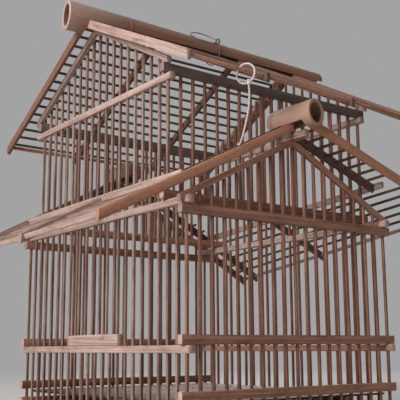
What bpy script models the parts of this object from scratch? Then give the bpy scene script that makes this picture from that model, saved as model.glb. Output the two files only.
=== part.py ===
# Two-tier bamboo bird cage, house-shaped: a barred body with a front gable,
# a barred tower standing on it, and a rod roof over each tier.
# Metres, +Z up, front gable towards -Y, door on the -X side, ground at z = 0.
# The wall bars pass through drilled rails; the rails cross at the corners as in a log cabin.

import math

import bmesh
import bpy
from mathutils import Vector

# Walls and bars
bar_pitch = 0.018
bar_side = 0.0040
front_bays = 18
side_bays = 22
tower_inset_bays = 2
fit_gap = 0.0003
socket_depth = 0.0055

# Rails: the ones along X are taller and lie on or under the ones along Y
x_rail_depth = 0.0088
x_rail_height = 0.0112
y_rail_width = 0.0088
y_rail_height = 0.0088
rail_overhang = 0.0096
tower_rail_overhang_back = 0.0190
mid_rail_height = 0.0916
eave_rail_height = 0.2344
tower_rail_rise = 0.0383

# Slatted floor
bearer_width = 0.0080
bearer_height = 0.0072
bearer_overhang = 0.0035
slat_count = 17
slat_gap = 0.0050
slat_thickness = 0.0032
slat_sink = 0.0006
floor_side_gap = 0.0025
floor_headroom = 0.0015
bearer_bay_shares = (0.25, 0.75)

# Bent gable strips
lower_pitch_share = 0.51
upper_pitch_share = 0.54
strip_thickness = 0.0075
strip_depth = 0.0072
strip_bend_radius = 0.018
strip_foot_overhang = 0.0110
strip_notch_depth = 0.0045
strip_arc_steps = 6

# Sliding door in the left wall
door_first_bar = 8
door_last_bar = 14
door_plank_height = 0.0136
door_plank_depth = 0.0086
door_plank_overhang_near = 0.0070
door_plank_overhang_far = 0.0110
door_bar_rise = 0.0060
slide_gap = 0.0004

# Roof pieces
rod_side = 0.0032
rod_groove = 0.0032
groove_spare = 0.0032
barge_thickness = 0.0056
barge_width = 0.0112
rafter_width = 0.0056
eave_strip_width = 0.0080
eave_strip_depth = 0.0060
eave_strip_inset = 0.0035
slim_strip_side = 0.0044
last_rod_gap = 0.0030
lower_rod_lift = 0.0160
lower_eave_run = 0.2780
lower_gable_overhang = 0.0333
lower_left_front_overhang = 0.0098
left_middle_rafter = -0.0200
right_middle_rafter = 0.0260
front_rafter_inset = 0.0150
back_rafter_inset = 0.0030
short_rod_tail = 0.0120
upper_eave_run = 0.2376
upper_gable_overhang = 0.0275
upper_rod_count = 14
upper_first_rod_run = 0.0216
upper_rafter_offset = 0.0720

# How steep each slope is at its two gables: the roofs have gone a little out of true
lower_left_pitch_shares = (0.500, 0.530)
lower_right_pitch_shares = (0.330, 0.550)
upper_front_pitch_shares = (0.494, 0.540)
upper_back_pitch_shares = (0.540, 0.540)

# Wall plates that carry the lower roof along the tower
plate_width = 0.0054
plate_height = 0.0090
plate_rise = 0.0080
plate_gap = 0.0006
plate_overhang = 0.0360

# Ridge poles and bamboo ridge tubes
pole_width = 0.0090
lower_pole_height = 0.0100
upper_pole_height = 0.0080
lower_pole_tower_gap = 0.0040
upper_pole_overhang = 0.0170
tube_sides = 18
lower_tube_radius = 0.0171
lower_tube_bore = 0.0122
lower_tube_lift = 0.0085
lower_tube_overhang = 0.0115
lower_tube_tower_gap = 0.0045
upper_tube_radius = 0.0195
upper_tube_small_radius = 0.0135
upper_tube_bore = 0.0142
upper_tube_lift = 0.0046
upper_tube_overhang_left = 0.0255
upper_tube_overhang_right = 0.0620
tube_collar = 0.0100
tube_diaphragm = 0.0060
upper_tube_bore_depth = 0.1500
tube_end_round = 0.0050

# Steel wire hanger on the upper ridge tube
wire_radius = 0.00075
wire_sides = 6
hanger_offset = 0.0305
hanger_tilt = math.radians(38)
band_steps = 24
eye_radius = 0.0032
eye_steps = 12
ring_radius = 0.0230
ring_steps = 28

# Twisted cord tied round the near upper eave
cord_radius = 0.0012
cord_bevel_steps = 2
cord_loop_points = 20
loop_centre = (-0.1050, -0.2355, 0.3970)
loop_radius = 0.0119
loop_turn = math.radians(20)
loop_start = math.radians(-56)
loop_sweep = math.radians(330)
knot_radius = 0.0024
knot_length = 0.0070
knot_sides = 10
knot_rings = 6
tail_points = (
    (-0.1037, -0.2391, 0.3817),
    (-0.1028, -0.2388, 0.3770),
    (-0.1010, -0.2368, 0.3690),
    (-0.0995, -0.2335, 0.3590),
    (-0.0980, -0.2285, 0.3480),
    (-0.0965, -0.2225, 0.3380),
    (-0.0950, -0.2170, 0.3300),
    (-0.0936, -0.2120, 0.3250),
    (-0.0925, -0.2086, 0.3227),
    (-0.0916, -0.2060, 0.3217),
    (-0.0908, -0.2032, 0.3219),
)
tail_steps = 2

# Derived plan
half_width = front_bays * bar_pitch / 2
half_depth = side_bays * bar_pitch / 2
tower_half_depth = half_depth - tower_inset_bays * bar_pitch
x_rail_half_length = half_width + rail_overhang
y_rail_half_length = half_depth + rail_overhang

# Derived levels, from the ground up
base_y_top = y_rail_height
base_x_foot = base_y_top + fit_gap
base_x_top = base_x_foot + x_rail_height
bearer_foot = base_x_top + fit_gap
slat_foot = bearer_foot + bearer_height - slat_sink
floor_top = slat_foot + slat_thickness
bottom_rail_foot = floor_top + floor_headroom
mid_y_foot = mid_rail_height - fit_gap - y_rail_height
eave_y_foot = eave_rail_height + x_rail_height + fit_gap
eave_y_top = eave_y_foot + y_rail_height
sill_foot = eave_y_top + fit_gap
sill_top = sill_foot + x_rail_height

lower_secant = math.sqrt(1 + lower_pitch_share ** 2)
upper_secant = math.sqrt(1 + upper_pitch_share ** 2)
lower_strip_apex = eave_y_top - strip_notch_depth + lower_pitch_share * (half_width + y_rail_width / 2)
lower_roof_apex = lower_strip_apex + strip_thickness * lower_secant + lower_rod_lift
tower_y_foot = lower_roof_apex + tower_rail_rise
tower_y_top = tower_y_foot + y_rail_height
tower_x_foot = tower_y_top + fit_gap
tower_x_top = tower_x_foot + x_rail_height
upper_strip_apex = tower_x_top + fit_gap + upper_pitch_share * (tower_half_depth + x_rail_depth / 2)
upper_roof_apex = upper_strip_apex + (strip_thickness + fit_gap + rod_side / 2) * upper_secant

# Colours: sunlit split bamboo, the browner rails, darker rods, ridge culm, wire and cord
lit_wood = (0.56, 0.36, 0.27)
rail_wood = (0.30, 0.17, 0.11)
rod_wood = (0.17, 0.09, 0.06)
tube_wood = (0.36, 0.25, 0.18)
steel = (0.20, 0.19, 0.19)
cotton = (0.72, 0.68, 0.62)


def clear_scene():
    for old in list(bpy.data.objects):
        bpy.data.objects.remove(old, do_unlink=True)


def material(name, colour, roughness, metallic):
    made = bpy.data.materials.new(name)
    made.use_nodes = True
    shader = made.node_tree.nodes["Principled BSDF"]
    shader.inputs["Base Color"].default_value = (*colour, 1)
    shader.inputs["Roughness"].default_value = roughness
    shader.inputs["Metallic"].default_value = metallic
    return made


def finish_mesh(name, bm):
    bmesh.ops.recalc_face_normals(bm, faces=bm.faces)
    mesh = bpy.data.meshes.new(name)
    bm.to_mesh(mesh)
    bm.free()
    return mesh


def node(name, bm, colour, roughness=0.62, metallic=0, origin=(0, 0, 0)):
    bmesh.ops.translate(bm, verts=bm.verts, vec=-Vector(origin))
    made = bpy.data.objects.new(name, finish_mesh(name, bm))
    made.location = origin
    made.data.materials.append(material(name, colour, roughness, metallic))
    bpy.context.scene.collection.objects.link(made)
    return made


def tool_body(target, bm, operation):
    """A hidden body that is cut from the target, or united with it."""
    body = bpy.data.objects.new(target.name + "_" + operation.lower(), finish_mesh("tool", bm))
    body.hide_render = True
    body.display_type = "WIRE"
    bpy.context.scene.collection.objects.link(body)
    step = target.modifiers.new(operation.title(), "BOOLEAN")
    step.operation = operation
    step.solver = "EXACT"
    step.object = body


def cut(target, bm):
    tool_body(target, bm, "DIFFERENCE")


def unite(target, bm):
    tool_body(target, bm, "UNION")


def hexahedron(bm, corners):
    """Eight corners: four of one end in order, then the matching four of the other end."""
    points = [bm.verts.new(corner) for corner in corners]
    for ring in ((0, 1, 2, 3), (4, 5, 6, 7), (0, 1, 5, 4), (1, 2, 6, 5), (2, 3, 7, 6), (3, 0, 4, 7)):
        bm.faces.new([points[index] for index in ring])


def box(bm, low, high):
    (x0, y0, z0), (x1, y1, z1) = low, high
    square = ((x0, y0), (x1, y0), (x1, y1), (x0, y1))
    hexahedron(bm, [(x, y, z0) for x, y in square] + [(x, y, z1) for x, y in square])


def upright(bm, x, y, foot, top, side):
    """A square upright; top is a level or a function of the place that gives one."""
    reach = side / 2
    square = ((x - reach, y - reach), (x + reach, y - reach), (x + reach, y + reach), (x - reach, y + reach))
    level = top if callable(top) else lambda px, py: top
    hexahedron(bm, [(px, py, foot) for px, py in square] + [(px, py, level(px, py)) for px, py in square])


def x_rail(name, y, foot):
    bm = bmesh.new()
    reach = x_rail_half_length
    box(bm, (-reach, y - x_rail_depth / 2, foot), (reach, y + x_rail_depth / 2, foot + x_rail_height))
    return node(name, bm, rail_wood)


def y_rail(name, x, foot, front_end, back_end):
    bm = bmesh.new()
    box(bm, (x - y_rail_width / 2, front_end, foot), (x + y_rail_width / 2, back_end, foot + y_rail_height))
    return node(name, bm, lit_wood)


def front_x(index):
    return index * bar_pitch - half_width


def side_y(index):
    return index * bar_pitch - half_depth


def drill(target, places, foot, top, gap=fit_gap):
    """Square holes for the bars at these places, between two levels."""
    bm = bmesh.new()
    for x, y in places:
        upright(bm, x, y, foot, top, bar_side + 2 * gap)
    cut(target, bm)


def strip_line(apex, pitch, radius, distance):
    """Height of a bent strip's face at a distance from its middle; radius is that face's bend."""
    secant = math.sqrt(1 + pitch ** 2)
    tangent = radius * pitch / secant
    if abs(distance) >= tangent:
        return apex - pitch * abs(distance)
    return apex - radius * secant + math.sqrt(radius ** 2 - distance ** 2)


def strip_sections(apex, pitch, reach):
    """Pairs of (distance, under height, top height) along a bent strip, end to end."""
    secant = math.sqrt(1 + pitch ** 2)
    centre = apex - strip_bend_radius * secant
    half_angle = math.atan(pitch)
    outer = strip_bend_radius + strip_thickness
    top_apex = apex + strip_thickness * secant
    under = [(-reach, apex - pitch * reach)]
    upper = [(-reach, top_apex - pitch * reach)]
    for step in range(strip_arc_steps + 1):
        angle = half_angle * (2 * step / strip_arc_steps - 1)
        under.append((strip_bend_radius * math.sin(angle), centre + strip_bend_radius * math.cos(angle)))
        upper.append((outer * math.sin(angle), centre + outer * math.cos(angle)))
    under.append((reach, apex - pitch * reach))
    upper.append((reach, top_apex - pitch * reach))
    return under, upper


def bent_strip(name, apex, pitch, reach, place, along_x, colour):
    under, upper = strip_sections(apex, pitch, reach)
    bm = bmesh.new()
    sides = []
    for offset in (-strip_depth / 2, strip_depth / 2):
        rows = []
        for line in (under, upper):
            if along_x:
                rows.append([bm.verts.new((a, place + offset, z)) for a, z in line])
            else:
                rows.append([bm.verts.new((place + offset, a, z)) for a, z in line])
        sides.append(rows)
    (near_under, near_upper), (far_under, far_upper) = sides
    last = len(under) - 1
    for i in range(last):
        bm.faces.new((near_under[i], near_under[i + 1], near_upper[i + 1], near_upper[i]))
        bm.faces.new((far_under[i], far_under[i + 1], far_upper[i + 1], far_upper[i]))
        bm.faces.new((near_under[i], near_under[i + 1], far_under[i + 1], far_under[i]))
        bm.faces.new((near_upper[i], near_upper[i + 1], far_upper[i + 1], far_upper[i]))
    for i in (0, last):
        bm.faces.new((near_under[i], near_upper[i], far_upper[i], far_under[i]))
    return node(name, bm, colour)


def lower_bar_top(px, py):
    return strip_line(lower_strip_apex, lower_pitch_share, strip_bend_radius, px) - fit_gap


def upper_bar_top(px, py):
    """The side bars end level with the back of the gable strip that they stand behind."""
    apex = upper_strip_apex + strip_thickness * upper_secant
    return strip_line(apex, upper_pitch_share, strip_bend_radius + strip_thickness, py) - fit_gap


def make_base():
    for side, word in ((-1, "left"), (1, "right")):
        rail = y_rail("base_rail_" + word, side * half_width, 0, -y_rail_half_length, y_rail_half_length)
        places = [(side * half_width, side_y(i)) for i in range(side_bays + 1)]
        drill(rail, places, base_y_top - socket_depth, base_y_top + fit_gap)
    for side, word in ((-1, "front"), (1, "back")):
        rail = x_rail("base_rail_" + word, side * half_depth, base_x_foot)
        places = [(front_x(i), side * half_depth) for i in range(1, front_bays)]
        drill(rail, places, base_x_top - socket_depth, base_x_top + fit_gap)
        corners = [(end * half_width, side * half_depth) for end in (-1, 1)]
        drill(rail, corners, base_x_foot - fit_gap, base_x_top + fit_gap)
        rail = x_rail("bottom_rail_" + word, side * half_depth, bottom_rail_foot)
        places = [(front_x(i), side * half_depth) for i in range(front_bays + 1)]
        drill(rail, places, bottom_rail_foot - fit_gap, bottom_rail_foot + x_rail_height + fit_gap)


def make_floor():
    reach_x = half_width - bar_side / 2 - floor_side_gap
    reach_y = half_depth - bar_side / 2 - floor_side_gap
    slat_pitch = (2 * reach_y + slat_gap) / slat_count
    slats = bmesh.new()
    for i in range(slat_count):
        start = i * slat_pitch - reach_y
        box(slats, (-reach_x, start, slat_foot), (reach_x, start + slat_pitch - slat_gap, floor_top))
    floor = node("floor_slats", slats, rod_wood)
    bearers = bmesh.new()
    for share in bearer_bay_shares:
        x = (math.floor(share * front_bays) + 0.5) * bar_pitch - half_width
        box(bearers, (x - bearer_width / 2, -half_depth - bearer_overhang, bearer_foot),
            (x + bearer_width / 2, half_depth + bearer_overhang, bearer_foot + bearer_height))
    unite(floor, bearers)


def make_front_walls():
    for side, word in ((-1, "front"), (1, "back")):
        y = side * half_depth
        wall = x_rail(word + "_grille", y, mid_rail_height)
        bars = bmesh.new()
        for i in range(front_bays + 1):
            corner = i in (0, front_bays)
            foot = (base_y_top if corner else base_x_top) - socket_depth + fit_gap
            upright(bars, front_x(i), y, foot, lower_bar_top, bar_side)
        unite(wall, bars)
        rail = x_rail("eave_rail_" + word, y, eave_rail_height)
        places = [(front_x(i), y) for i in range(front_bays + 1)]
        drill(rail, places, eave_rail_height - fit_gap, eave_rail_height + x_rail_height + fit_gap)
        strip = bent_strip("gable_strip_" + word, lower_strip_apex, lower_pitch_share,
                           half_width + strip_foot_overhang, y, True, rail_wood)
        notches = bmesh.new()
        for end in (-1, 1):
            reach = y_rail_width / 2 + fit_gap
            box(notches, (end * half_width - reach, -y_rail_half_length - rail_overhang, eave_y_foot - y_rail_height),
                (end * half_width + reach, y_rail_half_length + rail_overhang, eave_y_top + fit_gap))
        cut(strip, notches)


def side_bar_span(index, door_side):
    """Foot and top of a side wall's bar that belongs to the mid rail."""
    foot = base_y_top - socket_depth + fit_gap
    if door_side and door_first_bar < index < door_last_bar:
        return foot, mid_y_foot + y_rail_height / 2
    if index in (1, side_bays - 1):
        return foot, eave_y_top - fit_gap
    return foot, upper_bar_top


def make_side_walls():
    tower_bars = range(tower_inset_bays, side_bays - tower_inset_bays + 1)
    for side, word in ((-1, "left"), (1, "right")):
        x = side * half_width
        door_side = side < 0
        wall = y_rail(word + "_grille", x, mid_y_foot, -y_rail_half_length, y_rail_half_length)
        bars = bmesh.new()
        for i in range(1, side_bays):
            foot, top = side_bar_span(i, door_side)
            upright(bars, x, side_y(i), foot, top, bar_side)
        unite(wall, bars)
        corners = [(x, end * half_depth) for end in (-1, 1)]
        drill(wall, corners, mid_y_foot - fit_gap, mid_y_foot + y_rail_height + fit_gap)
        rail = y_rail("eave_rail_" + word, x, eave_y_foot, -y_rail_half_length, y_rail_half_length)
        door_bars = range(door_first_bar + 1, door_last_bar) if door_side else ()
        places = [(x, side_y(i)) for i in range(side_bays + 1) if i not in door_bars]
        drill(rail, places, eave_y_foot - fit_gap, eave_y_top + fit_gap)
        if door_side:
            stubs = bmesh.new()
            for i in door_bars:
                upright(stubs, x, side_y(i), eave_y_foot + y_rail_height / 2, upper_bar_top, bar_side)
            unite(rail, stubs)
            guides = [(x, side_y(i) + bar_pitch / 2) for i in range(door_first_bar, door_last_bar)]
            drill(rail, guides, eave_y_foot - fit_gap, eave_y_top + fit_gap, slide_gap)
        rail = y_rail("tower_rail_" + word, x, tower_y_foot,
                      -(tower_half_depth + rail_overhang), tower_half_depth + tower_rail_overhang_back)
        places = [(x, side_y(i)) for i in tower_bars]
        drill(rail, places, tower_y_foot - fit_gap, tower_y_top + fit_gap)
        strip_x = side * (half_width + bar_side / 2 + fit_gap + strip_depth / 2)
        bent_strip("gable_strip_" + word, upper_strip_apex, upper_pitch_share,
                   tower_half_depth + strip_foot_overhang, strip_x, False, lit_wood)


def make_tower_walls():
    for side, word in ((-1, "front"), (1, "back")):
        y = side * tower_half_depth
        wall = x_rail("tower_" + word + "_grille", y, sill_foot)
        bars = bmesh.new()
        for i in range(1, front_bays):
            upright(bars, front_x(i), y, sill_foot + x_rail_height / 2, tower_x_foot + socket_depth - fit_gap, bar_side)
        unite(wall, bars)
        corners = [(end * half_width, y) for end in (-1, 1)]
        drill(wall, corners, sill_foot - fit_gap, sill_top + fit_gap)
        rail = x_rail("tower_rail_" + word, y, tower_x_foot)
        places = [(front_x(i), y) for i in range(1, front_bays)]
        drill(rail, places, tower_x_foot - fit_gap, tower_x_foot + socket_depth)
        drill(rail, corners, tower_x_foot - fit_gap, tower_x_top + fit_gap)


def make_door():
    x = -half_width
    foot = mid_y_foot + y_rail_height + fit_gap
    low = side_y(door_first_bar) - door_plank_overhang_near
    high = side_y(door_last_bar) + door_plank_overhang_far
    bm = bmesh.new()
    box(bm, (x - door_plank_depth / 2, low, foot), (x + door_plank_depth / 2, high, foot + door_plank_height))
    door = node("sliding_door", bm, lit_wood, origin=(x, (low + high) / 2, foot))
    bars = bmesh.new()
    for i in range(door_first_bar, door_last_bar):
        upright(bars, x, side_y(i) + bar_pitch / 2, foot + door_plank_height / 2, eave_y_top + door_bar_rise, bar_side)
    unite(door, bars)
    rails = [(x, side_y(i)) for i in (door_first_bar, door_last_bar)]
    drill(door, rails, foot - fit_gap, foot + door_plank_height + fit_gap, slide_gap)


def slope(along_x, side, apex, pitch_shares, ends):
    """One slope of a roof; its pitch goes evenly from one gable's share to the other's."""
    def pitch_at(along):
        way = (along - ends[0]) / (ends[1] - ends[0])
        return pitch_shares[0] + (pitch_shares[1] - pitch_shares[0]) * way
    return along_x, side, apex, pitch_at


def place(roof, along, run, height):
    """A point of a roof slope: along the ridge, out from it, and up."""
    along_x, side = roof[:2]
    if along_x:
        return (along, side * run, height)
    return (side * run, along, height)


def rod_line(roof, along, run, depth=0):
    """Height of the rods' middle at this place, or of a plane that lies this deep square to the slope."""
    apex, pitch_at = roof[2:]
    pitch = pitch_at(along)
    return apex - pitch * run + depth * math.sqrt(1 + pitch ** 2)


def slab(bm, roof, along, runs, depths):
    """A sloping board cut plumb at both ends; depths are square to the slope, from the rods' middle."""
    ends = []
    for run in runs:
        ends += [place(roof, a, run, rod_line(roof, a, run, depths[0])) for a in along]
        ends += [place(roof, a, run, rod_line(roof, a, run, depths[1])) for a in reversed(along)]
    hexahedron(bm, ends)


def stick(bm, roof, along, run, half_wide, half_deep):
    """A square stick along the ridge's direction, turned to the slope, at a run from the ridge."""
    ends = []
    for a in along:
        pitch = roof[3](a)
        secant = math.sqrt(1 + pitch ** 2)
        for across, up in ((-1, -1), (1, -1), (1, 1), (-1, 1)):
            v = across * half_wide
            w = up * half_deep
            out = run + (v + w * pitch) / secant
            ends.append(place(roof, a, out, rod_line(roof, a, run) + (w - v * pitch) / secant))
    hexahedron(bm, ends)


def barge(name, roof, middle, inward, run_ends, rod_runs, colour):
    """A barge board at a place along the ridge, grooved on its inner face for the rods' ends."""
    along = (middle - barge_thickness / 2, middle + barge_thickness / 2)
    bm = bmesh.new()
    slab(bm, roof, along, run_ends, (-barge_width / 2, barge_width / 2))
    board = node(name, bm, colour)
    inner = middle + inward * barge_thickness / 2
    across = sorted((inner - inward * rod_groove, inner + inward * fit_gap))
    half_deep = rod_side / 2 + fit_gap
    grooves = bmesh.new()
    for first, last in rod_runs:
        slab(grooves, roof, across, (first - groove_spare, last + groove_spare), (-half_deep, half_deep))
    cut(board, grooves)


def panel(name, roof, rod_along, rod_runs, rafters, strip=None):
    """Rods through their rafters, which may be mortised for an eave strip: run, width, depth."""
    bm = bmesh.new()
    half_wide = rafter_width / 2
    half_deep = barge_width / 2
    for middle, runs in rafters:
        slab(bm, roof, (middle - half_wide, middle + half_wide), runs, (-half_deep, half_deep))
    made = node(name, bm, rod_wood)
    sticks = bmesh.new()
    for run in rod_runs:
        stick(sticks, roof, rod_along, run, rod_side / 2, rod_side / 2)
    unite(made, sticks)
    if strip is None:
        return
    mortises = bmesh.new()
    reach = rafter_width / 2 + fit_gap
    for middle, runs in rafters:
        stick(mortises, roof, (middle - reach, middle + reach), strip[0],
              strip[1] / 2 + fit_gap, strip[2] / 2 + fit_gap)
    cut(made, mortises)


def eave_strip_runs(eave_run, pitch_shares, wide, deep):
    """Where the eave strip's middle lies, and how far in its inner edge reaches."""
    pitch = max(pitch_shares)
    reach = (wide / 2 + deep / 2 * pitch) / math.sqrt(1 + pitch ** 2)
    middle = eave_run - eave_strip_inset - reach
    return middle, middle - reach


def rods_up_to(run):
    """How many rods on the bars' pitch lie wholly inside this run."""
    return math.floor((run - rod_side / 2) / bar_pitch)


def barge_middle(overhang):
    """How far out along the lower ridge the middle of a barge board lies."""
    return half_depth + overhang - barge_thickness / 2


def lower_slopes():
    back = barge_middle(lower_gable_overhang)
    left_ends = (-barge_middle(lower_left_front_overhang), back)
    left = slope(False, -1, lower_roof_apex, lower_left_pitch_shares, left_ends)
    return left, slope(False, 1, lower_roof_apex, lower_right_pitch_shares, (-back, back))


def upper_slopes():
    reach = half_width + upper_gable_overhang - barge_thickness / 2
    front = slope(True, -1, upper_roof_apex, upper_front_pitch_shares, (-reach, reach))
    return front, slope(True, 1, upper_roof_apex, upper_back_pitch_shares, (-reach, reach))


def wall_plate(name, roof, plate_inner, plate_outer):
    """A stick along the tower's foot at the level of the rods; it follows the slope or lies on the sills."""
    reach = tower_half_depth + plate_overhang
    corners = []
    for y in (-reach, reach):
        tops = [rod_line(roof, y, run) + plate_rise for run in (plate_inner, plate_outer)]
        feet = [max(sill_top + fit_gap, top - plate_height) for top in tops]
        for run, height in zip((plate_inner, plate_outer, plate_outer, plate_inner), feet + tops[::-1]):
            corners.append(place(roof, y, run, height))
    bm = bmesh.new()
    hexahedron(bm, corners)
    node(name, bm, lit_wood)


def make_lower_roof():
    plate_inner = half_width + bar_side / 2 + plate_gap
    plate_outer = plate_inner + plate_width
    pole_side = pole_width / 2 + fit_gap
    left, right = lower_slopes()
    back = barge_middle(lower_gable_overhang)
    left_front = barge_middle(lower_left_front_overhang)
    sides = (("left", left, lower_left_pitch_shares, left_front, pole_side,
              left_middle_rafter, eave_strip_width, eave_strip_depth),
             ("right", right, lower_right_pitch_shares, back, fit_gap / 2,
              right_middle_rafter, slim_strip_side, slim_strip_side))
    for word, roof, shares, front, front_start, middle_rafter, wide, deep in sides:
        strip_run, strip_inner = eave_strip_runs(lower_eave_run, shares, wide, deep)
        short_count = rods_up_to(half_width - bar_side / 2 - fit_gap)
        last = rods_up_to(strip_inner - last_rod_gap)
        short_runs = [bar_pitch * i for i in range(1, short_count + 1)]
        skirt_runs = [bar_pitch * i for i in range(rods_up_to(plate_outer + rod_side) + 1, last + 1)]
        grooved = [(runs[0], runs[-1]) for runs in (short_runs, skirt_runs)]
        faces = (barge_thickness / 2 - front, back - barge_thickness / 2)
        ends = (("front", -1, -front, faces[0], front_start, front_rafter_inset),
                ("back", 1, back, faces[1], fit_gap / 2, back_rafter_inset))
        for end_word, end, middle, face, start, inset in ends:
            barge("lower_barge_" + end_word + "_" + word, roof, middle, -end,
                  (start, lower_eave_run), grooved, lit_wood)
            outer = face + end * (rod_groove - fit_gap)
            inner = end * (tower_half_depth + short_rod_tail)
            rafter = (end * (half_depth - inset), (pole_side, plate_inner - fit_gap))
            panel("short_rods_" + end_word + "_" + word, roof, sorted((outer, inner)), short_runs, [rafter])
        runs = (plate_outer + fit_gap, lower_eave_run)
        spare = rod_groove - fit_gap
        panel("skirt_rods_" + word, roof, (faces[0] - spare, faces[1] + spare), skirt_runs,
              [(middle_rafter, runs), (half_depth - back_rafter_inset, runs)], (strip_run, wide, deep))
        bm = bmesh.new()
        stick(bm, roof, (faces[0] + fit_gap, faces[1] - fit_gap), strip_run, wide / 2, deep / 2)
        node("lower_eave_strip_" + word, bm, lit_wood)
        wall_plate("wall_plate_" + word, roof, plate_inner, plate_outer)


def strip_crown(apex, pitch):
    """Highest level of a bent strip's outer face."""
    outer_apex = apex + strip_thickness * math.sqrt(1 + pitch ** 2)
    return strip_line(outer_apex, pitch, strip_bend_radius + strip_thickness, 0)


def make_upper_roof():
    barge_x = half_width + upper_gable_overhang - barge_thickness / 2
    barge_face = barge_x - barge_thickness / 2
    rod_reach = barge_face + rod_groove - fit_gap
    slope_shares = (upper_front_pitch_shares, upper_back_pitch_shares)
    for roof, shares, word in zip(upper_slopes(), slope_shares, ("front", "back")):
        strip_run, strip_inner = eave_strip_runs(upper_eave_run, shares, slim_strip_side, slim_strip_side)
        span = (strip_inner - last_rod_gap - rod_side / 2 - upper_first_rod_run) / (upper_rod_count - 1)
        rod_runs = [upper_first_rod_run + span * i for i in range(upper_rod_count)]
        for end, end_word in ((-1, "left"), (1, "right")):
            barge("upper_barge_" + end_word + "_" + word, roof, end * barge_x, -end,
                  (fit_gap / 2, upper_eave_run), [(rod_runs[0], rod_runs[-1])], lit_wood)
        runs = (pole_width / 2 + fit_gap, upper_eave_run)
        rafters = [(offset, runs) for offset in (-upper_rafter_offset, upper_rafter_offset)]
        panel("upper_rods_" + word, roof, (-rod_reach, rod_reach), rod_runs, rafters,
              (strip_run, slim_strip_side, slim_strip_side))
        bm = bmesh.new()
        reach = barge_face - fit_gap
        stick(bm, roof, (-reach, reach), strip_run, slim_strip_side / 2, slim_strip_side / 2)
        node("upper_eave_strip_" + word, bm, lit_wood)


def ring_of(bm, centre, axis_x, radius, count):
    """A ring of points round a ridge line that runs along X or along Y."""
    made = []
    for i in range(count):
        angle = 2 * math.pi * i / count
        across, up = radius * math.cos(angle), radius * math.sin(angle)
        offset = (0, across, up) if axis_x else (across, 0, up)
        made.append(bm.verts.new(Vector(centre) + Vector(offset)))
    return made


def culm(name, axis_x, centre, profile, colour):
    """A bamboo tube turned round its ridge line; profile is (distance along, radius), pole to pole."""
    bm = bmesh.new()
    rings = []
    for along, radius in profile:
        middle = Vector(centre) + (Vector((along, 0, 0)) if axis_x else Vector((0, along, 0)))
        rings.append([bm.verts.new(middle)] if radius == 0 else ring_of(bm, middle, axis_x, radius, tube_sides))
    for first, second in zip(rings, rings[1:]):
        for i in range(tube_sides):
            j = (i + 1) % tube_sides
            if len(first) == 1:
                bm.faces.new((first[0], second[i], second[j]))
            elif len(second) == 1:
                bm.faces.new((first[i], first[j], second[0]))
            else:
                bm.faces.new((first[i], first[j], second[j], second[i]))
    made = node(name, bm, colour, 0.45)
    made.data.shade_smooth()
    made.data.set_sharp_from_angle(angle=math.radians(40))
    return made


def culm_profile(open_end, closed_end, open_radius, closed_radius, bore, bore_depth):
    """From the bore's blind end, out round the open rim and along to the rounded, closed end."""
    way = math.copysign(1, closed_end - open_end)
    floor_at = open_end + way * bore_depth
    round_at = closed_end - way * tube_end_round
    return (
        (floor_at, 0),
        (floor_at, bore),
        (open_end, bore),
        (open_end, open_radius),
        (round_at, closed_radius),
        (closed_end - way * tube_end_round * (1 - math.sin(math.pi / 4)),
         closed_radius - tube_end_round * (1 - math.cos(math.pi / 4))),
        (closed_end, closed_radius - tube_end_round),
        (closed_end, 0),
    )


def saddle(target, slopes, along, reach, centre_height):
    """Cut the underside so that the tube sits astride the boards of both slopes."""
    first, second = slopes
    low = centre_height - 2 * reach
    clear = barge_width / 2 + fit_gap
    bm = bmesh.new()
    rings = []
    for a in along:
        crown = max(rod_line(roof, a, 0, clear) for roof in slopes)
        section = (place(first, a, reach, low), place(second, a, reach, low),
                   place(second, a, reach, rod_line(second, a, reach, clear)), place(first, a, 0, crown),
                   place(first, a, reach, rod_line(first, a, reach, clear)))
        rings.append([bm.verts.new(corner) for corner in section])
    count = len(rings[0])
    for i in range(count):
        j = (i + 1) % count
        bm.faces.new((rings[0][i], rings[0][j], rings[1][j], rings[1][i]))
    for ring in rings:
        bm.faces.new(ring)
    cut(target, bm)


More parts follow.
